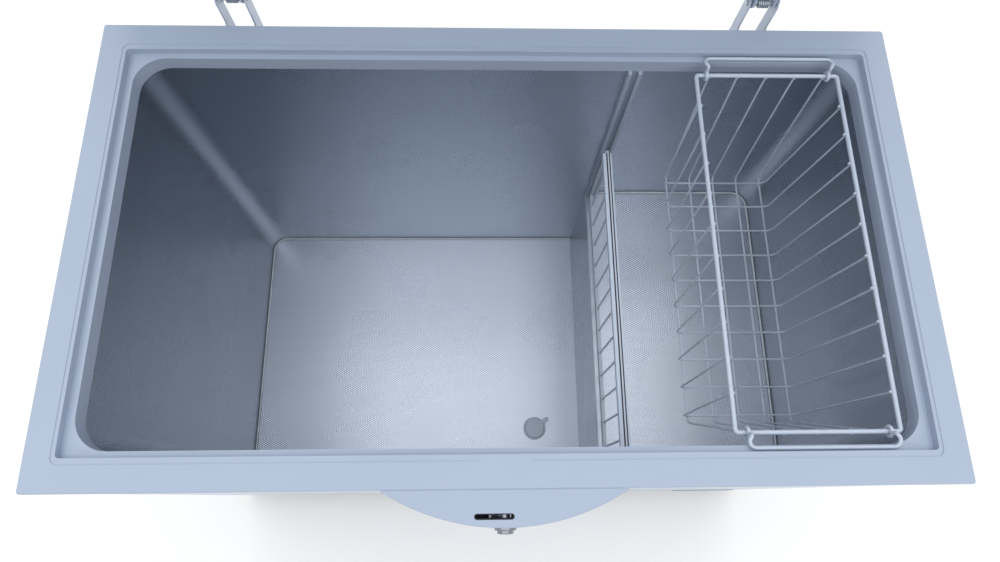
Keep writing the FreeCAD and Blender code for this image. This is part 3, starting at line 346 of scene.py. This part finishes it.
def black_enamel():
    """Thick gloss black paint over a pressed pot."""
    material, tree, shader = new_material("black_enamel", BLACK, 0.28, Coat_Weight=0.5, Coat_Roughness=0.12)
    coordinates = object_coordinates(tree)
    dust = [(0.45, BLACK), (0.9, (0.05, 0.05, 0.05))]
    link(tree, shader, Normal=bump(tree, noise(tree, coordinates, 300.0, 2.0), 0.12 * MM, 0.7),
         Base_Color=shades(tree, noise(tree, coordinates, 60.0, 6.0), dust),
         Roughness=spread(tree, noise(tree, coordinates, 30.0), 0.2, 0.4, 0.3, 0.7))
    return material


def rubber(name, colour):
    """Soft matt rubber."""
    material, tree, shader = new_material(name, colour, 0.72, Sheen_Weight=0.15, Sheen_Roughness=0.5)
    coordinates = object_coordinates(tree)
    link(tree, shader, Normal=bump(tree, noise(tree, coordinates, 800.0, 3.0), 0.06 * MM, 0.6),
         Base_Color=mottled(tree, coordinates, colour, 35.0, 0.08))
    return material


def copper_tube():
    """Drawn copper with brown tarnish in patches."""
    material, tree, shader = new_material("copper_tube", COPPER, 0.34, 1.0)
    coordinates = object_coordinates(tree)
    tarnish = noise(tree, coordinates, 45.0, 6.0)
    stops = [(0.35, COPPER), (0.55, tone(COPPER, 0.7)), (0.8, (0.16, 0.08, 0.05))]
    link(tree, shader, Base_Color=shades(tree, tarnish, stops),
         Roughness=spread(tree, tarnish, 0.28, 0.60, 0.35, 0.75),
         Normal=bump(tree, noise(tree, coordinates, 600.0), 0.02 * MM, 0.5))
    return material


def lamp_plastic():
    """Tinted lenses: green, amber and red from left to right."""
    low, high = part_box("indicator_lamps")
    material, tree, shader = new_material("lamp_plastic", LAMP_COLOURS[0], 0.15, Coat_Weight=0.6)
    coordinates = object_coordinates(tree)
    across = add(tree, "ShaderNodeSeparateXYZ", {"Vector": coordinates}).outputs["X"]
    place = spread(tree, across, 0.0, 1.0, low.x, high.x)
    stops = [(number / len(LAMP_COLOURS), colour) for number, colour in enumerate(LAMP_COLOURS)]
    link(tree, shader, Base_Color=shades(tree, place, stops, "CONSTANT"),
         Normal=bump(tree, cells(tree, coordinates, 900.0), 0.1 * MM, 0.6))
    return material


def pale_floor():
    """The plain floor under the freezer."""
    material, tree, shader = new_material("pale_floor", FLOOR_WHITE, 0.65)
    coordinates = object_coordinates(tree)
    link(tree, shader, Base_Color=mottled(tree, coordinates, FLOOR_WHITE, 0.8, 0.008),
         Normal=bump(tree, noise(tree, coordinates, 90.0), 0.1 * MM, 0.3))
    return material


MATERIALS = {
    "embossed_aluminium": embossed_aluminium(),
    "rim_plastic": smooth_moulding("rim_plastic", RIM_WHITE, 0.36),
    "guide_plastic": smooth_moulding("guide_plastic", GUIDE_WHITE, 0.46, 0.05),
    "divider_bar": smooth_moulding("divider_bar", BAR_WHITE, 0.34),
    "drain_plastic": smooth_moulding("drain_plastic", PAINTED_LIGHT_PLUG_GREY, 0.42, 0.05),
    "painted_steel": painted_steel(),
    "galvanised_steel": galvanised_steel(),
    "seam_sealant": seam_sealant(),
    "trim_aluminium": drawn_metal("trim_aluminium", TRIM_ALUMINIUM, 0.34, (900, 20, 900)),
    "coil_aluminium": drawn_metal("coil_aluminium", BRIGHT_ALUMINIUM, 0.35, (60, 60, 900)),
    "coil_tube": drawn_metal("coil_tube", COIL_BLACK, 0.45, (60, 60, 900), 0.2),
    "zinc_steel": drawn_metal("zinc_steel", ZINC, 0.33, (400, 400, 400), 0.14),
    "foam": foam(),
    "coated_wire": coated_wire(),
    "black_plastic": grained_plastic("black_plastic", BLACK, 0.55),
    "bright_chrome": bright_chrome(),
    "black_enamel": black_enamel(),
    "grey_rubber": rubber("grey_rubber", GASKET_GREY),
    "black_rubber": rubber("black_rubber", BLACK),
    "copper_tube": copper_tube(),
    "lamp_plastic": lamp_plastic(),
}
INLAY = grained_plastic("inlay_brown", INLAY_BROWN, 0.45)


def dress_frame():
    """Gives each CAD node the material of its slot."""
    for part in frame["record"]["subparts"]:
        piece = frame["nodes"][part["node"]]
        if not piece.material_slots:
            piece.data.materials.append(None)
        for slot in piece.material_slots:
            slot.material = MATERIALS[part["material_slot"]]


# Mesh helpers

def piece_of(name, vertices, faces, body, slot, material=None, smooth=True):
    """An object from a mesh's vertices and faces that rides on a body."""
    mesh = bpy.data.meshes.new(name)
    mesh.from_pydata([tuple(vertex) for vertex in vertices], [], faces)
    mesh.update()
    shell = bmesh.new()
    shell.from_mesh(mesh)
    bmesh.ops.recalc_face_normals(shell, faces=shell.faces)
    shell.to_mesh(mesh)
    shell.free()
    if smooth:
        mesh.polygons.foreach_set("use_smooth", [True] * len(mesh.polygons))
        mesh.set_sharp_from_angle(angle=math.radians(38))
    piece = bpy.data.objects.new(name, mesh)
    bpy.context.scene.collection.objects.link(piece)
    piece.data.materials.append(material or MATERIALS[slot])
    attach(piece, body)
    return piece


def rings_mesh(rings, closed):
    """Vertices and faces that join rings of equal length, capped at the ends unless they close up."""
    count = len(rings[0])
    vertices = [vertex for ring in rings for vertex in ring]
    faces = []
    for number in range(len(rings) if closed else len(rings) - 1):
        here, there = number * count, (number + 1) % len(rings) * count
        for step in range(count):
            following = (step + 1) % count
            faces.append((here + step, here + following, there + following, there + step))
    if not closed:
        faces.append(tuple(range(count))[::-1])
        faces.append(tuple(range(len(vertices) - count, len(vertices))))
    return vertices, faces


def rounded_path(corners, radius, spacing, closed=False):
    """Points along straight runs with round corners, each with its direction."""
    corners = [Vector(corner) for corner in corners]
    count = len(corners)
    points = []
    for number, corner in enumerate(corners):
        if not closed and number in (0, count - 1):
            points.append(corner)
            continue
        into = (corner - corners[number - 1]).normalized()
        out = (corners[(number + 1) % count] - corner).normalized()
        turn = into.angle(out)
        centre = corner + (out - into).normalized() * (radius / math.cos(turn / 2))
        start = corner - into * radius * math.tan(turn / 2)
        axis = into.cross(out).normalized()
        steps = max(3, round(radius * turn / spacing))
        for step in range(steps + 1):
            arm = start - centre
            arm.rotate(Matrix.Rotation(turn * step / steps, 3, axis))
            points.append(centre + arm)
    if closed:
        points.append(points[0])
    filled = []
    for here, there in zip(points, points[1:]):
        steps = max(1, round((there - here).length / spacing))
        filled += [here.lerp(there, step / steps) for step in range(steps)]
    if not closed:
        filled.append(points[-1])
    last = len(filled) - 1
    directions = []
    for number in range(len(filled)):
        before = filled[number - 1] if closed or number else filled[0]
        after = filled[(number + 1) % len(filled)] if closed or number < last else filled[last]
        directions.append((after - before).normalized())
    return filled, directions


def lathe(profile, segments):
    """Rings turned about the Z axis from (radius, height) pairs."""
    return [[Vector((radius * math.cos(2 * math.pi * step / segments),
                     radius * math.sin(2 * math.pi * step / segments), height)) for step in range(segments)]
            for radius, height in profile]


def moved(vertices, matrix):
    """The vertices carried by a matrix."""
    return [matrix @ Vector(vertex) for vertex in vertices]


def joined(meshes):
    """One list of vertices and one of faces from several."""
    vertices, faces = [], []
    for some_vertices, some_faces in meshes:
        start = len(vertices)
        vertices += some_vertices
        faces += [tuple(start + index for index in face) for face in some_faces]
    return vertices, faces


# Pieces

def twisted_bead(corners, radius, corner_radius):
    """A two-strand twisted bead along a path on a floor."""
    twist_pitch = 9.6 * MM
    strands = 2
    sides = 14
    waist = 0.84
    points, directions = rounded_path(corners, corner_radius, 0.8 * MM)
    rings = []
    travelled = 0.0
    for number, (point, direction) in enumerate(zip(points, directions)):
        if number:
            travelled += (point - points[number - 1]).length
        beside = direction.cross(Vector((0, 0, 1)))
        ring = []
        for side in range(sides):
            angle = 2 * math.pi * side / sides
            lobe = math.cos(strands * (angle - 2 * math.pi * travelled / twist_pitch))
            reach = radius * (waist + (1 - waist) * lobe)
            ring.append(point + beside * reach * math.cos(angle) + Vector((0, 0, reach * math.sin(angle))))
        rings.append(ring)
    return rings_mesh(rings, False)


def make_seams():
    """The beads round the left floor and round the raised one."""
    low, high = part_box("seam_beads")
    floor_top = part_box("liner_floor")[1]
    hump_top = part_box("liner_step")[1].z
    guide_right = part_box("guide_back")[1].x
    radius = 2.2 * MM
    corner_radius = 30.7 * MM
    left, right = low.x + radius, high.x - radius
    front, back = low.y + radius, high.y - radius
    past_guide = guide_right + 4 * MM
    beads = []
    for start, end, floor in ((floor_top.x - radius, left, floor_top.z), (past_guide, right, hump_top)):
        level = floor + radius
        corners = [(start, back, level), (end, back, level), (end, front, level), (start, front, level)]
        beads.append(twisted_bead(corners, radius, corner_radius))
    seams = piece_of("seam_rope", *joined(beads), "cabinet", "seam_sealant")
    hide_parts("seam_beads")


def screw_mesh():
    """A pan head with a cross recess, standing on the XY plane."""
    # Radius and height in millimetres, from the seat to the crown
    profile = [(4.0, 0), (4.0, 0.7), (3.7, 1.35), (3.0, 1.85), (2.0, 2.15), (0.8, 2.2)]
    slot_length = 4.2 * MM
    slot_width = 0.95 * MM
    slot_depth = 2.2 * MM
    slot_middle = 1.9 * MM
    slot_taper = 0.45
    head = rings_mesh(lathe([(radius * MM, height * MM) for radius, height in profile], 32), False)
    solid = bpy.data.meshes.new("screw_head")
    solid.from_pydata([tuple(vertex) for vertex in head[0]], [], head[1])
    cutter_mesh = bpy.data.meshes.new("screw_recess")
    cutter = bmesh.new()
    for turn in (0, math.pi / 2):
        place = Matrix.Rotation(turn, 4, "Z") @ Matrix.Translation((0, 0, slot_middle))
        arm = place @ Matrix.Diagonal((slot_length, slot_width, slot_depth, 1))
        made = bmesh.ops.create_cube(cutter, size=1.0, matrix=arm)
        for vertex in made["verts"]:
            if vertex.co.z < slot_middle:
                vertex.co.x *= slot_taper
                vertex.co.y *= slot_taper
    cutter.to_mesh(cutter_mesh)
    cutter.free()
    head_object = bpy.data.objects.new("screw_head", solid)
    cutter_object = bpy.data.objects.new("screw_recess", cutter_mesh)
    for item in (head_object, cutter_object):
        bpy.context.scene.collection.objects.link(item)
    recess = head_object.modifiers.new("recess", "BOOLEAN")
    recess.object = cutter_object
    recess.operation = "DIFFERENCE"
    recess.use_self = True
    bpy.context.view_layer.update()
    shaped = head_object.evaluated_get(bpy.context.evaluated_depsgraph_get()).to_mesh()
    vertices = [vertex.co.copy() for vertex in shaped.vertices]
    faces = [tuple(face.vertices) for face in shaped.polygons]
    for item in (head_object, cutter_object):
        bpy.data.objects.remove(item)
    return vertices, faces


def islands(node):
    """The box of each separate solid in a CAD node."""
    shell = bmesh.new()
    shell.from_mesh(frame["nodes"][node].data)
    bmesh.ops.remove_doubles(shell, verts=shell.verts, dist=0.01 * MM)
    waiting = set(shell.verts)
    boxes = []
    while waiting:
        group, edge = set(), [waiting.pop()]
        while edge:
            vertex = edge.pop()
            group.add(vertex)
            for neighbour in (link.other_vert(vertex) for link in vertex.link_edges):
                if neighbour in waiting:
                    waiting.discard(neighbour)
                    edge.append(neighbour)
        boxes.append((Vector([min(vertex.co[axis] for vertex in group) for axis in range(3)]),
                      Vector([max(vertex.co[axis] for vertex in group) for axis in range(3)])))
    shell.free()
    return sorted(boxes, key=lambda pair: tuple(round(part, 4) for part in pair[0]))


def make_screws():
    """Cross-head screws for the back, the hinge brackets and the hinge leaves."""
    head_vertices, head_faces = screw_mesh()
    for node, body, facing in (("back_screws", "cabinet", "BACK"), ("leaf_screws", "lid", "DOWN")):
        heads = []
        for number, (low, high) in enumerate(islands(node)):
            middle = (low + high) / 2
            spin = Matrix.Rotation(0.9 * number + 0.4, 4, "Z")
            if facing == "BACK":
                foot = (middle.x, low.y, middle.z)
                turn = -math.pi / 2
            else:
                foot = (middle.x, middle.y, high.z)
                turn = math.pi
            place = Matrix.Translation(foot) @ Matrix.Rotation(turn, 4, "X")
            heads.append((moved(head_vertices, place @ spin), head_faces))
        screws = piece_of(node + "_detailed", *joined(heads), body, "zinc_steel")
        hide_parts(node)


def make_gasket():
    """The lid's seal: a foot, a bellows fold and a magnet pocket, with round corners on the lid."""
    low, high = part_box("lid_gasket")
    corner_radius = 8 * MM
    width = 12 * MM
    height = high.y - low.y
    # The profile as shares of the width and the height: the foot, the fold and the pocket, and back
    section = [(0.10, 0.00), (0.90, 0.00), (0.95, 0.13), (0.80, 0.26), (0.80, 0.36), (0.97, 0.46),
               (1.00, 0.56), (1.00, 0.90), (0.93, 1.00), (0.07, 1.00), (0.00, 0.90), (0.00, 0.56),
               (0.03, 0.46), (0.20, 0.36), (0.20, 0.26), (0.05, 0.13)]
    corners = [(low.x, high.y, low.z), (high.x, high.y, low.z),
               (high.x, high.y, high.z), (low.x, high.y, high.z)]
    points, directions = rounded_path(corners, corner_radius, 3 * MM, closed=True)
    rings = []
    for point, direction in zip(points, directions):
        inward = direction.cross(Vector((0, 1, 0)))
        towards_middle = Vector((-point.x, 0, (low.z + high.z) / 2 - point.z))
        if inward.dot(towards_middle) < 0:
            inward = -inward
        rings.append([point + inward * across * width - Vector((0, rise * height, 0))
                      for across, rise in section])
    gasket = piece_of("lid_seal", *rings_mesh(rings, True), "lid", "grey_rubber")
    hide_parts("lid_gasket")


def blob(centre, reach):
    """A small drop of coating, squashed into the joint that it covers."""
    drop = bmesh.new()
    bmesh.ops.create_icosphere(drop, subdivisions=2, radius=1.0)
    drop.verts.ensure_lookup_table()
    vertices = []
    for vertex in drop.verts:
        sway = math.sin(5 * vertex.co.x + 900 * centre.y) * math.cos(4 * vertex.co.y + 900 * centre.x)
        uneven = 1 + 0.10 * sway
        vertices.append(centre + Vector([part * size * uneven for part, size in zip(vertex.co, reach)]))
    faces = [tuple(vertex.index for vertex in face.verts) for face in drop.faces]
    drop.free()
    return vertices, faces


def spaced(first, last, count):
    """Evenly spaced places from first to last."""
    return [first + (last - first) * number / (count - 1) for number in range(count)]


def make_weld_beads():
    """The coated welds where the basket's thin wires meet its frame and each other."""
    frame_low, frame_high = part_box("basket_frame")
    long_low, long_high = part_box("basket_long_wires")
    cross_low, cross_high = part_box("basket_cross_wires")
    level = frame_low.z - 0.4 * MM
    end_level = level + 1.2 * MM
    side_level = level + 1.6 * MM
    crossing_level = long_low.z + 2 * WIRE_RADIUS
    side_inset = RAIL_RADIUS + 2.2 * MM
    end_drop = (2.6 * MM, 4.2 * MM, 3.0 * MM)
    side_drop = (3.4 * MM, 2.6 * MM, 3.2 * MM)
    crossing_drop = (1.9 * MM, 1.9 * MM, 1.4 * MM)
    columns = spaced(long_low.x + WIRE_RADIUS, long_high.x - WIRE_RADIUS, LONG_WIRES)
    rows = spaced(cross_low.y + WIRE_RADIUS, cross_high.y - WIRE_RADIUS, CROSS_WIRES)
    drops = []
    for x in columns:
        for y in (frame_low.y + RAIL_RADIUS, frame_high.y - RAIL_RADIUS):
            drops.append(blob(Vector((x, y, end_level)), end_drop))
    for y in rows:
        for x in (frame_low.x + side_inset, frame_high.x - side_inset):
            drops.append(blob(Vector((x, y, side_level)), side_drop))
        for x in columns:
            drops.append(blob(Vector((x, y, crossing_level)), crossing_drop))
    piece_of("basket_welds", *joined(drops), "basket", "coated_wire")


def make_bar_inlays():
    """The two brown strips in the divider bar's grooves."""
    low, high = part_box("divider_top_bar")
    # The edges of both grooves, in millimetres from the bar's left side
    grooves = ((5.7, 8.2), (10.7, 12.8))
    end_gap = 0.2 * MM
    foot = high.z - 2 * MM
    shoulder = high.z - 0.7 * MM
    crown = 0.5 * MM
    steps = 6
    strips = []
    for groove_left, groove_right in grooves:
        left, right = low.x + groove_left * MM, low.x + groove_right * MM
        middle, half = (left + right) / 2, (right - left) / 2
        rings = []
        for y in (low.y + end_gap, high.y - end_gap):
            ring = [Vector((right, y, foot)), Vector((left, y, foot))]
            for step in range(steps + 1):
                angle = math.pi * step / steps
                across = middle - half * math.cos(angle)
                ring.append(Vector((across, y, shoulder + crown * math.sin(angle))))
            rings.append(ring)
        strips.append(rings_mesh(rings, False))
    piece_of("divider_bar_inlays", *joined(strips), "divider", "divider_bar", INLAY)


def make_knob():
    """A fluted thermostat knob with a raised pointer."""
    low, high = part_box("thermostat_knob")
    axis_x, base_y, axis_z = (low.x + high.x) / 2, high.y, (low.z + high.z) / 2
    length = high.y - low.y
    segments = 144
    flutes = 24
    flute_depth = 0.55
    # Radius in millimetres, share of the length, and share of the flutes' depth, from the shaft to the cap
    profile = [(0.3, 0.00, 0), (4.0, 0.00, 0), (4.0, 0.15, 0), (13.6, 0.15, 0), (14.0, 0.18, 0),
               (14.0, 0.28, 0), (13.2, 0.32, 0.5), (12.8, 0.36, 1), (12.2, 0.80, 1), (11.7, 0.86, 0.6),
               (10.8, 0.91, 0), (9.0, 0.925, 0), (8.6, 0.91, 0), (0.3, 0.90, 0)]
    rings = []
    for radius, reach, depth in profile:
        ring = []
        for step in range(segments):
            angle = 2 * math.pi * step / segments
            groove = depth * flute_depth * (0.5 + 0.5 * math.cos(flutes * angle)) ** 3
            spoke = (radius - groove) * MM
            ring.append(Vector((axis_x + spoke * math.cos(angle), base_y - reach * length,
                                axis_z + spoke * math.sin(angle))))
        rings.append(ring)
    knob = piece_of("thermostat_knob_fluted", *rings_mesh(rings, False), "knob", "guide_plastic")
    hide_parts("thermostat_knob")
    sides = 16
    pointer_middle = 6.0
    pointer_stretch = 2.6
    rings = []
    for reach, half in ((0.89, 1.3), (0.95, 1.2), (0.97, 0.9)):
        ring = []
        for step in range(sides):
            angle = 2 * math.pi * (step + 0.5) / sides
            stretch = math.copysign(pointer_stretch, math.sin(angle))
            up = pointer_middle + stretch + math.sin(angle) * half
            ring.append(Vector((axis_x + math.cos(angle) * half * MM, base_y - reach * length,
                                axis_z + up * MM)))
        rings.append(ring)
    piece_of("thermostat_pointer", *rings_mesh(rings, False), "knob", "guide_plastic", INLAY)


def make_dial_ticks():
    """Plain raised ticks round the thermostat knob, on the floor of its dish."""
    low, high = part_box("thermostat_knob")
    dish_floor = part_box("indicator_lamps")[0].y + 2.5 * MM
    centre = Vector(((low.x + high.x) / 2, dish_floor, (low.z + high.z) / 2))
    inner, outer = 15.5, 18.5
    ticks = []
    for number in range(7):
        turn = math.radians(225 - 45 * number)
        outward = Vector((math.cos(turn), 0, math.sin(turn)))
        beside = Vector((-math.sin(turn), 0, math.cos(turn)))
        half = (0.35 + 0.10 * number) * MM
        rings = []
        for lift, inset in ((-0.1, 0.0), (0.25, 0.0), (0.4, 0.15)):
            near, far = inner + inset, outer - inset
            rings.append([centre + outward * (reach * MM) + beside * side + Vector((0, -lift * MM, 0))
                          for reach, side in ((near, -half), (far, -half), (far, half), (near, half))])
        ticks.append(rings_mesh(rings, False))
    piece_of("dial_ticks", *joined(ticks), "cabinet", "guide_plastic", INLAY, smooth=False)


def make_slot_painted_shade():
    """Painted shade in the lock housing: a black sleeve round the tongue slot and a black tray under the cam.
    """
    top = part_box("lock_housing")[1].z
    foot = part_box("lock_housing")[0].z
    slot_y = -348 * MM
    slot_left = -33.5 * MM
    slot_right = 6.5 * MM
    slot_half = 3.5 * MM
    arc_steps = 8

    def stadium(grow, level):
        """A ring of the slot's outline, grown by a distance, at a height."""
        radius = slot_half + grow
        ring = []
        for centre, start in ((slot_right, -90), (slot_left, 90)):
            for step in range(arc_steps + 1):
                angle = math.radians(start + 180 / arc_steps * step)
                ring.append(Vector((centre + radius * math.cos(angle), slot_y + radius * math.sin(angle),
                                    level)))
        return ring

    # Painted shade: the black sleeve lines the slot where its inside falls in shade
    outside = -0.1 * MM
    inside = outside - 1.0 * MM
    upper = top - 1.2 * MM
    lower = top - 26 * MM
    sleeve = [stadium(outside, upper), stadium(inside, upper),
              stadium(inside, lower), stadium(outside, lower)]
    piece_of("tongue_slot_painted_shade", *rings_mesh(sleeve, True), "cabinet", "black_plastic")
    # Painted shade: the black tray under the cam darkens the slot down to the housing's foot
    tray_rim = foot + 7 * MM
    tray = [stadium(4 * MM, foot + 1 * MM), stadium(4 * MM, tray_rim),
            stadium(3 * MM, tray_rim), stadium(3 * MM, foot + 2 * MM)]
    piece_of("cam_painted_shade_tray", *rings_mesh(tray, False), "cabinet", "black_plastic")


# Stage

def make_floor():
    """A wide pale floor: a disc, without the cap that rings_mesh puts on the outer ring."""
    vertices, faces = rings_mesh(lathe([(radius, 0) for radius in (0.01, 2.0, 6.0, 14.0, 30.0)], 64), False)
    mesh = bpy.data.meshes.new("floor")
    mesh.from_pydata([tuple(vertex) for vertex in vertices], [], faces[:-1])
    floor = bpy.data.objects.new("floor", mesh)
    bpy.context.scene.collection.objects.link(floor)
    mesh.materials.append(pale_floor())


def softbox(name, place, target, width, depth, power):
    """A large soft area light aimed at a point."""
    light = bpy.data.lights.new(name, "AREA")
    light.shape = "RECTANGLE"
    light.size = width
    light.size_y = depth
    light.energy = power
    lamp = bpy.data.objects.new(name, light)
    lamp.location = place
    lamp.rotation_euler = (Vector(target) - Vector(place)).to_track_quat("-Z", "Y").to_euler()
    bpy.context.scene.collection.objects.link(lamp)


def make_light():
    """Soft light from above and from the front right, in a pale room."""
    world = bpy.data.worlds.new("studio")
    bpy.context.scene.world = world
    world.use_nodes = True
    background = world.node_tree.nodes["Background"]
    background.inputs["Color"].default_value = (*ROOM_COLOUR, 1)
    background.inputs["Strength"].default_value = ROOM_STRENGTH
    softbox("ceiling", (-0.4, 1.0, 4.4), (-0.4, 0.8, 0), 7.0, 6.0, 115)
    softbox("fill", (3.4, -3.4, 2.6), (0, 0, 0.5), 2.4, 2.4, 26)


def make_camera():
    """Above the front edge, looking down and a little back."""
    data = bpy.data.cameras.new("camera")
    data.sensor_width = SENSOR_WIDTH
    data.lens = LENS
    data.clip_start = 0.01
    camera = bpy.data.objects.new("camera", data)
    camera.location = [distance * MM for distance in CAMERA_PLACE]
    camera.rotation_euler = [math.radians(angle) for angle in CAMERA_TURN]
    bpy.context.scene.collection.objects.link(camera)
    bpy.context.scene.camera = camera


bpy.context.scene.view_settings.view_transform = "Standard"
make_camera()
make_light()
make_floor()
dress_frame()
for make in (make_seams, make_screws, make_gasket, make_weld_beads, make_bar_inlays, make_knob,
             make_dial_ticks, make_slot_painted_shade):
    make()
